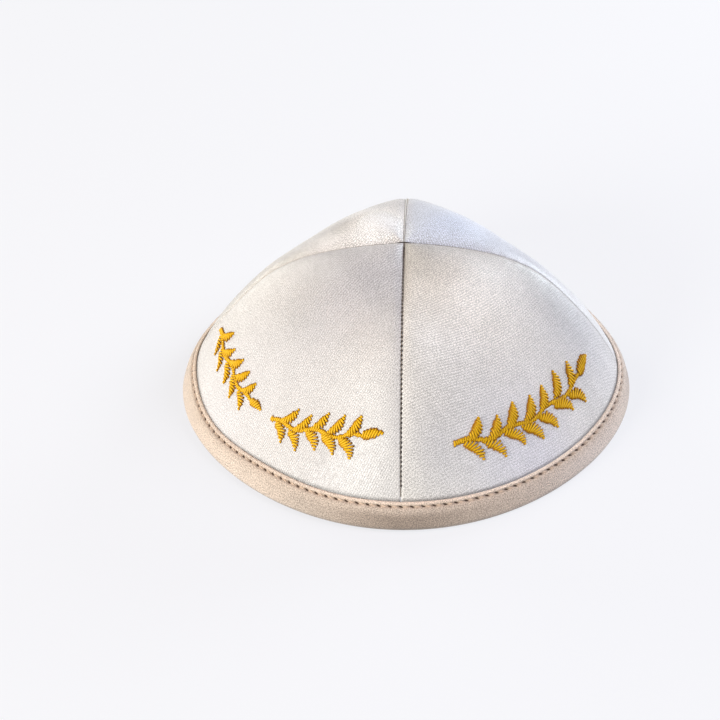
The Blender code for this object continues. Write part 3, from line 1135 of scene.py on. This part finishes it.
def stroke_threads(stroke, draw, sizes):
    """The satin stitches of one stroke, side by side and arched over it."""
    steps = np.linalg.norm(np.diff(stroke.line, axis=0), axis=1)
    reach = np.append(0, np.cumsum(steps))
    count = max(int(reach[-1] / SATIN_SPACING), 3)
    at = np.linspace(0.01, 0.99, count) * reach[-1]
    middle = np.stack([np.interp(at, reach, stroke.line[:, axis]) for axis in (0, 1)], axis=1)
    way = np.stack([np.gradient(stroke.line[:, axis], reach) for axis in (0, 1)], axis=1)
    way = unit(np.stack([np.interp(at, reach, way[:, axis]) for axis in (0, 1)], axis=1))
    half = np.interp(at, reach, stroke.half) + draw.normal(0, SATIN_RAGGED / 2, count)
    half = np.maximum(half, LEAST_HALF_WIDTH)
    slant = SATIN_SLANT + draw.normal(0, 0.02, count)
    across = np.stack(
        [
            -way[:, 1] * np.cos(slant) + way[:, 0] * np.sin(slant),
            way[:, 0] * np.cos(slant) + way[:, 1] * np.sin(slant),
        ],
        axis=1,
    )
    t = np.linspace(-1, 1, THREAD_POINTS)
    spread = np.sign(t) * np.abs(t) ** 0.8
    shift = draw.normal(0, SATIN_RAGGED, count)
    flat = middle[:, None] + across[:, None] * (spread[None, :, None] * half[:, None, None])
    flat = flat + across[:, None] * (shift[:, None, None] * np.abs(spread)[None, :, None])
    arch = np.sqrt(np.clip(1 - (0.98 * t) ** 2, 0, 1))
    raise_by = SATIN_RAISE * np.clip(half / FULL_ARCH_WIDTH, LEAST_ARCH, 1.0)
    lift = raise_by[:, None] * arch[None] - SATIN_SINK
    lift += draw.normal(0, 0.02 * MM, count)[:, None]
    _, _, down_rate, across_rate = crown_frame(
        np.array([stroke.share]), np.array([stroke.azimuth]), sizes
    )
    share = stroke.share - flat[..., 1] / down_rate[0]
    azimuth = stroke.azimuth + flat[..., 0] / across_rate[0]
    place, out, _, _ = crown_frame(share, azimuth, sizes)
    return place + out * lift[..., None], out


def sprig_strokes(sprig, draw, sizes):
    """A stem with pairs of leaves and a leaf at its tip."""
    start, end = math.radians(sprig.start), math.radians(sprig.end)
    middle = (start + end) / 2
    _, _, down_rate, across_rate = crown_frame(
        np.array([sprig.middle_out]), np.array([middle]), sizes
    )
    t = np.linspace(0, STEM_SHARE, STEM_POINTS)
    reach = sprig.ends_out + (sprig.middle_out - sprig.ends_out) * np.sin(math.pi * t)
    sway = STEM_SWAY * np.sin(math.tau * t * sprig.pairs / 2)
    round_by = (start + (end - start) * t - middle) * across_rate[0]
    uphill = (sprig.middle_out - reach) * down_rate[0] + sway
    line = np.stack([round_by, uphill], axis=1)
    half = STEM_WIDTH / 2 * (0.75 + 0.35 * (1 - t))
    strokes = [Stroke(sprig.middle_out, middle, line, half)]
    for pair in range(sprig.pairs):
        at = (pair + LEAF_PLACE) / (sprig.pairs + LEAF_PLACE) * STEM_SHARE
        row = int(np.searchsorted(t, at))
        foot = line[row]
        size = sprig.leaf * (1 - 0.10 * abs(2 * at - 1)) * (1 + draw.uniform(-0.04, 0.04))
        for side in (1, -1):
            turn = side * (LEAF_TURN + draw.uniform(-0.08, 0.08))
            leaf = leaf_stroke(
                sprig.middle_out, middle, size, size * LEAF_WIDTH_SHARE, turn, -side * LEAF_CURL
            )
            nudge = np.array([0.12 * side * sprig.leaf, side * STEM_WIDTH * 0.55])
            strokes.append(leaf._replace(line=leaf.line + foot + nudge))
    tip = leaf_stroke(
        sprig.middle_out, middle, sprig.leaf * 0.95, sprig.leaf * LEAF_WIDTH_SHARE, 0.0, 0.05
    )
    strokes.append(tip._replace(line=tip.line + line[-1]))
    return strokes


def embroidery(name, sprigs, sizes):
    """All the gold thread on one gore."""
    draw = np.random.default_rng(len(name))
    paths, outs = [], []
    for sprig in sprigs:
        for stroke in sprig_strokes(sprig, draw, sizes):
            path, out = stroke_threads(stroke, draw, sizes)
            paths.append(path)
            outs.append(out)
    return thread_tubes(name, np.concatenate(paths), np.concatenate(outs), GOLD_RADIUS)


# Node groups and materials


def give(tree, socket, value):
    """Links a node's input to another socket, or sets it to a value."""
    if isinstance(value, bpy.types.NodeSocket):
        tree.links.new(value, socket)
    else:
        socket.default_value = value


def give_all(tree, node, values):
    for name, value in values.items():
        give(tree, node.inputs[name], value)


def add_node(tree, kind, inputs=None, **settings):
    """A node with its settings, and its inputs linked to sockets or set to values."""
    node = tree.nodes.new(kind)
    for name, value in settings.items():
        setattr(node, name, value)
    give_all(tree, node, inputs or {})
    return node


def mark(tree, name, output="Fac"):
    """The values that a piece's mesh holds under this name."""
    return add_node(tree, "ShaderNodeAttribute", attribute_name=name).outputs[output]


def bump(tree, shader, height, strength, distance):
    """Raises the look of a surface by a height, without moving it."""
    values = {"Height": height, "Strength": strength, "Distance": distance}
    node = add_node(tree, "ShaderNodeBump", values)
    tree.links.new(node.outputs["Normal"], shader.inputs["Normal"])


def maths(tree, operation, *values, clamp=False):
    """The result of a Math node on up to three sockets or numbers."""
    node = add_node(tree, "ShaderNodeMath", dict(enumerate(values)), operation=operation)
    node.use_clamp = clamp
    return node.outputs[0]


def mix_colour(tree, share, first, second, blend="MIX"):
    node = add_node(tree, "ShaderNodeMix", data_type="RGBA", blend_type=blend, clamp_result=True)
    for number, value in ((0, share), (6, first), (7, second)):
        give(tree, node.inputs[number], value)
    return node.outputs[2]


def new_group(name, inputs, outputs):
    """A shader node group with named sockets, given as (name, socket type, default)."""
    group = bpy.data.node_groups.new(name, "ShaderNodeTree")
    for label, kind, default in inputs:
        socket = group.interface.new_socket(label, in_out="INPUT", socket_type=kind)
        if default is not None:
            socket.default_value = default
    for label, kind in outputs:
        group.interface.new_socket(label, in_out="OUTPUT", socket_type=kind)
    return group, group.nodes.new("NodeGroupInput"), group.nodes.new("NodeGroupOutput")


def finish_group(group, given, results):
    for label, socket in results.items():
        group.links.new(socket, given.inputs[label])
    return group


FLOAT = "NodeSocketFloat"
VECTOR = "NodeSocketVector"


def row_weave_group():
    """Rows of a weave, each broken into floats of thread that shine differently."""
    group, given, out = new_group(
        "woven rows",
        [
            ("Vector", VECTOR, None),
            ("Turn", FLOAT, 0.0),
            ("Row pitch", FLOAT, 0.97 * MM),
            ("Dash length", FLOAT, 1.3 * MM),
            ("Unevenness", FLOAT, 0.25 * MM),
        ],
        [("Height", FLOAT), ("Shine", FLOAT)],
    )
    wobble = add_node(
        group,
        "ShaderNodeTexNoise",
        {"Vector": given.outputs["Vector"], "Scale": 900.0, "Detail": 1.0},
    )
    centred = add_node(
        group,
        "ShaderNodeVectorMath",
        {0: wobble.outputs["Color"], 1: (0.5, 0.5, 0.5)},
        operation="SUBTRACT",
    )
    scaled = add_node(group, "ShaderNodeVectorMath", {0: centred.outputs[0]}, operation="SCALE")
    group.links.new(given.outputs["Unevenness"], scaled.inputs["Scale"])
    shifted = add_node(
        group,
        "ShaderNodeVectorMath",
        {0: given.outputs["Vector"], 1: scaled.outputs[0]},
        operation="ADD",
    )
    turned = add_node(
        group,
        "ShaderNodeVectorRotate",
        {"Vector": shifted.outputs[0], "Angle": given.outputs["Turn"]},
        rotation_type="Z_AXIS",
    )
    parts = add_node(group, "ShaderNodeSeparateXYZ", {0: turned.outputs[0]})
    row = maths(group, "DIVIDE", parts.outputs["Y"], given.outputs["Row pitch"])
    wave = maths(group, "COSINE", maths(group, "MULTIPLY", row, math.tau))
    ribs = maths(group, "MULTIPLY_ADD", wave, 0.5, 0.5)
    number = maths(group, "ROUND", row)
    step = add_node(group, "ShaderNodeTexWhiteNoise", {"W": number}, noise_dimensions="1D")
    dash = maths(group, "DIVIDE", parts.outputs["X"], given.outputs["Dash length"])
    along = maths(group, "ADD", dash, step.outputs["Value"])
    dashes = maths(group, "COSINE", maths(group, "MULTIPLY", along, math.tau))
    lumps = maths(group, "MULTIPLY_ADD", dashes, 0.25, 0.75)
    height = maths(group, "MULTIPLY", ribs, lumps)
    cell = add_node(group, "ShaderNodeCombineXYZ", {"X": number, "Y": maths(group, "ROUND", along)})
    float_noise = add_node(
        group, "ShaderNodeTexWhiteNoise", {"Vector": cell.outputs[0]}, noise_dimensions="2D"
    )
    shine = maths(group, "MULTIPLY_ADD", float_noise.outputs["Value"], 2.0, -1.0)
    return finish_group(group, out, {"Height": height, "Shine": shine})


def cloth_grain_group():
    """Fine specks and slow mottling of a cloth's colour, from -1 to 1, and a fine height."""
    group, given, out = new_group(
        "cloth grain",
        [("Vector", VECTOR, None), ("Speck size", FLOAT, 0.55 * MM), ("Mottle size", FLOAT, 11 * MM)],
        [("Specks", FLOAT), ("Mottling", FLOAT), ("Height", FLOAT)],
    )
    speck_scale = maths(group, "DIVIDE", 1.0, given.outputs["Speck size"])
    mottle_scale = maths(group, "DIVIDE", 1.0, given.outputs["Mottle size"])
    specks = add_node(
        group,
        "ShaderNodeTexNoise",
        {"Vector": given.outputs["Vector"], "Scale": speck_scale, "Detail": 2.0, "Roughness": 0.6},
    )
    mottle = add_node(
        group,
        "ShaderNodeTexNoise",
        {"Vector": given.outputs["Vector"], "Scale": mottle_scale, "Detail": 3.0},
    )
    fine = maths(group, "MULTIPLY_ADD", specks.outputs["Fac"], 4.0, -2.0)
    slow = maths(group, "MULTIPLY_ADD", mottle.outputs["Fac"], 4.0, -2.0)
    return finish_group(
        group, out, {"Specks": fine, "Mottling": slow, "Height": specks.outputs["Fac"]}
    )


def thread_twist_group():
    """Plies that wind round a thread, which lies along its UV map's first axis."""
    group, given, out = new_group(
        "thread twist",
        [("Vector", VECTOR, None), ("Ply length", FLOAT, 0.9 * MM), ("Plies", FLOAT, 2.0)],
        [("Height", FLOAT)],
    )
    parts = add_node(group, "ShaderNodeSeparateXYZ", {0: given.outputs["Vector"]})
    along = maths(group, "DIVIDE", parts.outputs["X"], given.outputs["Ply length"])
    around = maths(group, "DIVIDE", parts.outputs["Y"], 0.17 * MM * math.tau)
    phase = maths(group, "ADD", along, maths(group, "MULTIPLY", around, given.outputs["Plies"]))
    wave = maths(group, "COSINE", maths(group, "MULTIPLY", phase, math.tau))
    height = maths(group, "MULTIPLY_ADD", wave, 0.5, 0.5)
    return finish_group(group, out, {"Height": height})


def use_group(tree, name, builder, inputs):
    """A node of the named group, which is built once and shared."""
    node = tree.nodes.new("ShaderNodeGroup")
    node.node_tree = bpy.data.node_groups.get(name) or builder()
    give_all(tree, node, inputs)
    return node


def new_material(name):
    material = bpy.data.materials.new(name)
    material.use_nodes = True
    tree = material.node_tree
    shader = tree.nodes["Principled BSDF"]
    place = tree.nodes.new("ShaderNodeTexCoord")
    return material, tree, shader, place


def vary(tree, colour, amount, light, dark):
    """A colour turned lighter where the amount is above 0 and darker where it is below."""
    share = maths(tree, "MULTIPLY_ADD", amount, 0.5, 0.5, clamp=True)
    low = (*(np.asarray(colour[:3]) * dark), 1.0)
    high = (*np.minimum(np.asarray(colour[:3]) * light, 1), 1.0)
    return mix_colour(tree, share, low, high)


def satin_material(gore, colours):
    """Ivory satin: two sets of woven rows, specks, mottling, painted light and shade, and a soft gloss.
    """
    material, tree, shader, place = new_material(gore.name + "_satin")
    uv = place.outputs["UV"]
    rows_values = {"Vector": uv, "Turn": -math.radians(gore.rows_turn), "Row pitch": gore.rows_pitch}
    rows = use_group(tree, "woven rows", row_weave_group, rows_values)
    cross_values = {
        "Vector": uv,
        "Turn": -math.radians(gore.cross_turn),
        "Row pitch": gore.cross_pitch,
        "Dash length": 2.1 * MM,
    }
    cross = use_group(tree, "woven rows", row_weave_group, cross_values)
    grain = use_group(tree, "cloth grain", cloth_grain_group, {"Vector": uv, "Speck size": 0.34 * MM})
    # The gore's painted light tint
    tint = tuple(channel * lustre for channel, lustre in zip(colours.satin, gore.lustre))
    ribs = maths(tree, "MULTIPLY_ADD", rows.outputs["Height"], ROW_SHADE, -ROW_SHADE / 2)
    amount = maths(tree, "MULTIPLY", ribs, mark(tree, "row_show"))
    for shown, shade in (
        (rows.outputs["Shine"], FLOAT_SHADE),
        (cross.outputs["Shine"], CROSS_SHADE),
        (grain.outputs["Specks"], SPECK_SHADE),
        (grain.outputs["Mottling"], MOTTLE_SHADE),
    ):
        amount = maths(tree, "MULTIPLY_ADD", shown, shade, amount)
    nap = maths(tree, "MULTIPLY", mark(tree, "nap"), gore.grain)
    colour = vary(tree, tint, maths(tree, "MULTIPLY", amount, nap), 1.42, 0.60)
    # Painted light and shade patches, with the cloth's random mottle
    colour = mix_colour(tree, 1.0, colour, mark(tree, "lustre", "Color"), blend="MULTIPLY")
    # Painted shadow above the binding's lip
    clear = add_node(
        tree,
        "ShaderNodeMapRange",
        {"Value": mark(tree, "above_lip"), "From Max": LIP_SHADOW, "To Min": LIP_SHADOW_DEPTH},
        interpolation_type="SMOOTHSTEP",
    )
    colour = mix_colour(tree, 1.0, colour, clear.outputs["Result"], blend="MULTIPLY")
    # Painted shade along the seams
    by_seam = maths(tree, "MULTIPLY", mark(tree, "near_seam"), 0.06)
    colour = mix_colour(tree, by_seam, colour, SEAM_SHADE_TINT)
    # Painted shade beside the upper front seam
    by_front = maths(tree, "MULTIPLY", mark(tree, "near_front_seam"), 0.50)
    colour = mix_colour(tree, by_front, colour, FRONT_SEAM_SHADE_TINT, blend="MULTIPLY")
    height = maths(tree, "MULTIPLY_ADD", cross.outputs["Height"], 0.35, rows.outputs["Height"])
    height = maths(tree, "MULTIPLY_ADD", grain.outputs["Height"], 0.8, height)
    bump(tree, shader, height, 0.8, 0.06 * MM)
    looks = {
        "Base Color": colour,
        "Roughness": maths(tree, "MULTIPLY_ADD", rows.outputs["Shine"], -0.06, 0.42),
        "Sheen Weight": 0.12,
        "Sheen Roughness": 0.4,
        "Specular IOR Level": 0.5,
    }
    give_all(tree, shader, looks)
    return material


def binding_material(colours):
    """Matt champagne cloth: mottled specks, painted light and shade, and painted shade darkening the
    stitch holes and the groove.
    """
    material, tree, shader, place = new_material("binding_cloth")
    grain_values = {"Vector": place.outputs["UV"], "Speck size": 0.46 * MM, "Mottle size": 4.5 * MM}
    grain = use_group(tree, "cloth grain", cloth_grain_group, grain_values)
    amount = maths(tree, "MULTIPLY", grain.outputs["Specks"], 1.1)
    amount = maths(tree, "MULTIPLY_ADD", grain.outputs["Mottling"], 0.12, amount)
    colour = vary(tree, tuple(colours.binding), amount, 1.75, 0.33)
    # Painted light and shade from the mesh
    colour = mix_colour(tree, 1.0, colour, mark(tree, "lustre", "Color"), blend="MULTIPLY")
    # Painted shade in the stitch groove
    groove_shade = maths(tree, "MULTIPLY", mark(tree, "groove"), 0.28)
    colour = mix_colour(tree, groove_shade, colour, GROOVE_SHADE_TINT)
    # Painted shade in the stitch holes
    dark = maths(tree, "MULTIPLY_ADD", mark(tree, "pit"), 3.0, -0.9, clamp=True)
    colour = mix_colour(tree, dark, colour, HOLE_SHADE_TINT)
    bump(tree, shader, grain.outputs["Height"], 0.7, 0.16 * MM)
    looks = {"Base Color": colour, "Roughness": 0.78, "Sheen Weight": 0.25, "Sheen Roughness": 0.5}
    give_all(tree, shader, looks)
    return material


def thread_material(name, colours):
    """A kind of thread, built once and shared: plies that catch the light, a painted highlight along its
    crest with painted shade on its sides, and a colour that wanders a little."""
    if name in bpy.data.materials:
        return bpy.data.materials[name]
    look = THREADS[name]
    material, tree, shader, place = new_material(name)
    twist = {"Vector": place.outputs["UV"], "Ply length": look.ply}
    plies = use_group(tree, "thread twist", thread_twist_group, twist)
    grain_values = {"Vector": place.outputs["Object"], "Speck size": 0.7 * MM, "Mottle size": 3 * MM}
    grain = use_group(tree, "cloth grain", cloth_grain_group, grain_values)
    # Painted highlight on each thread's crest and painted shade on its sides and ends
    amount = maths(tree, "MULTIPLY_ADD", mark(tree, "crest"), 4.6, -3.7)
    amount = maths(tree, "MULTIPLY_ADD", plies.outputs["Height"], 0.4, amount)
    amount = maths(tree, "MULTIPLY_ADD", grain.outputs["Specks"], 0.3, amount)
    colour = vary(tree, tuple(getattr(colours, look.colour)), amount, look.light, look.dark)
    bump(tree, shader, plies.outputs["Height"], 0.5, 0.03 * MM)
    looks = {"Base Color": colour, "Roughness": look.roughness, "Specular IOR Level": 0.2}
    give_all(tree, shader, looks)
    return material


def dress(obj, material):
    obj.data.materials.clear()
    obj.data.materials.append(material)


# Operators


class KIPPAH_OT_gores(bpy.types.Operator):
    """Makes the four satin gores"""

    bl_idname = "kippah.gores"
    bl_label = "Satin gores"

    def execute(self, context):
        sizes, colours = context.scene.kippah_sizes, context.scene.kippah_colours
        for gore in GORES:
            satin = gore_mesh(gore, sizes)
            dress(satin, satin_material(gore, colours))
            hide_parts(gore.name)
        return {"FINISHED"}


class KIPPAH_OT_binding(bpy.types.Operator):
    """Makes the folded strip round the rim"""

    bl_idname = "kippah.binding"
    bl_label = "Rim binding"

    def execute(self, context):
        binding = binding_mesh(context.scene.kippah_sizes)
        dress(binding, binding_material(context.scene.kippah_colours))
        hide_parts("rim_binding")
        return {"FINISHED"}


class KIPPAH_OT_stitches(bpy.types.Operator):
    """Sews the binding's stitches and the seams"""

    bl_idname = "kippah.stitches"
    bl_label = "Stitches and seams"

    def execute(self, context):
        sizes, colours = context.scene.kippah_sizes, context.scene.kippah_colours
        brown = thread_material("binding_thread", colours)
        dress(binding_stitches(sizes), brown)
        for core in SEAM_CORES:
            dress(seam_core(core, sizes), thread_material(core.thread, colours))
        dress(apex_tack(sizes), thread_material("dark_seam_thread", colours))
        for row in SEAM_ROWS:
            dress(seam_row_threads(row, sizes), thread_material(row.thread, colours))
        return {"FINISHED"}


class KIPPAH_OT_embroidery(bpy.types.Operator):
    """Embroiders the sprigs on the two front gores"""

    bl_idname = "kippah.embroidery"
    bl_label = "Gold sprigs"

    def execute(self, context):
        gold = thread_material("gold_thread", context.scene.kippah_colours)
        for name, sprigs in SPRIGS.items():
            dress(embroidery(name, sprigs, context.scene.kippah_sizes), gold)
        return {"FINISHED"}


def view_matrix(view):
    """The camera's place and turn."""
    back = Vector((0, -math.cos(view.elevation), math.sin(view.elevation)))
    right = Vector((1, 0, 0))
    up = back.cross(right)
    roll = view.roll
    rolled_right = right * math.cos(roll) - up * math.sin(roll)
    rolled_up = right * math.sin(roll) + up * math.cos(roll)
    axes = Matrix((rolled_right, rolled_up, back)).transposed().to_4x4()
    axes.translation = Vector((view.aim_x, 0, view.aim_z)) + back * view.distance
    return Matrix.Rotation(view.turn, 4, "Z") @ axes


def add_lamp(lamp, aim):
    azimuth, elevation = math.radians(lamp.azimuth), math.radians(lamp.elevation)
    way = Vector(
        (
            math.cos(elevation) * math.cos(azimuth),
            math.cos(elevation) * math.sin(azimuth),
            math.sin(elevation),
        )
    )
    bpy.ops.object.light_add(
        type="AREA",
        location=aim + way * lamp.distance,
        rotation=way.to_track_quat("Z", "Y").to_euler(),
    )
    obj = bpy.context.active_object
    obj.name = obj.data.name = lamp.name
    obj.data.shape = "DISK"
    obj.data.size = lamp.size
    obj.data.energy = lamp.power
    obj.data.color = lamp.colour


class KIPPAH_OT_stage(bpy.types.Operator):
    """Sets the floor, the lamps and the camera"""

    bl_idname = "kippah.stage"
    bl_label = "Stage"

    def execute(self, context):
        scene, view, colours = context.scene, context.scene.kippah_view, context.scene.kippah_colours
        bpy.ops.object.select_all(action="DESELECT")
        bpy.ops.mesh.primitive_plane_add(size=FLOOR_SIZE)
        floor = context.active_object
        floor.name = floor.data.name = "floor"
        material, tree, shader, _ = new_material("pale_floor")
        looks = {
            "Base Color": tuple(colours.floor),
            "Roughness": 0.9,
            "Specular IOR Level": 0.0,
            "Emission Color": FLOOR_GLOW,
            "Emission Strength": FLOOR_GLOW_STRENGTH,
        }
        give_all(tree, shader, looks)
        floor.data.materials.append(material)
        aim = Vector((0, 0, (CAD_BOX[0][2] + CAD_BOX[1][2]) / 2))
        for lamp in LAMPS:
            add_lamp(lamp, aim)
        world = bpy.data.worlds.new("pale_studio")
        world.use_nodes = True
        sky = world.node_tree.nodes["Background"]
        sky.inputs["Color"].default_value = WORLD_COLOUR
        sky.inputs["Strength"].default_value = WORLD_STRENGTH
        scene.world = world
        bpy.ops.object.camera_add()
        camera = context.active_object
        camera.name = camera.data.name = "photo_camera"
        camera.data.lens = view.lens
        camera.data.sensor_width = SENSOR_WIDTH
        camera.data.clip_start = CLIP_START
        camera.matrix_world = view_matrix(view)
        scene.camera = camera
        scene.view_settings.view_transform = "Standard"
        return {"FINISHED"}


class KIPPAH_PT_panel(bpy.types.Panel):
    """Lists the pieces and their sizes in the sidebar"""

    bl_idname = "KIPPAH_PT_panel"
    bl_label = "Kippah skullcap"
    bl_space_type = "VIEW_3D"
    bl_region_type = "UI"
    bl_category = "Kippah"

    def draw(self, context):
        for operator in OPERATORS:
            self.layout.operator(operator.bl_idname)
        for group in ("kippah_sizes", "kippah_colours", "kippah_view"):
            settings = getattr(context.scene, group)
            for name in settings.__annotations__:
                self.layout.prop(settings, name)


OPERATORS = (
    KIPPAH_OT_gores,
    KIPPAH_OT_binding,
    KIPPAH_OT_stitches,
    KIPPAH_OT_embroidery,
    KIPPAH_OT_stage,
)
GROUPS = {
    "kippah_sizes": KippahSizes,
    "kippah_colours": KippahColours,
    "kippah_view": KippahView,
}


def register():
    for group in GROUPS.values():
        bpy.utils.register_class(group)
    for name, group in GROUPS.items():
        setattr(bpy.types.Scene, name, bpy.props.PointerProperty(type=group))
    for cls in OPERATORS + (KIPPAH_PT_panel,):
        bpy.utils.register_class(cls)


def unregister():
    for cls in (KIPPAH_PT_panel,) + OPERATORS[::-1]:
        bpy.utils.unregister_class(cls)
    for name, group in GROUPS.items():
        delattr(bpy.types.Scene, name)
        bpy.utils.unregister_class(group)


def main():
    register()
    bpy.ops.kippah.gores()
    bpy.ops.kippah.binding()
    bpy.ops.kippah.stitches()
    bpy.ops.kippah.embroidery()
    bpy.ops.kippah.stage()


if __name__ == "__main__":
    main()
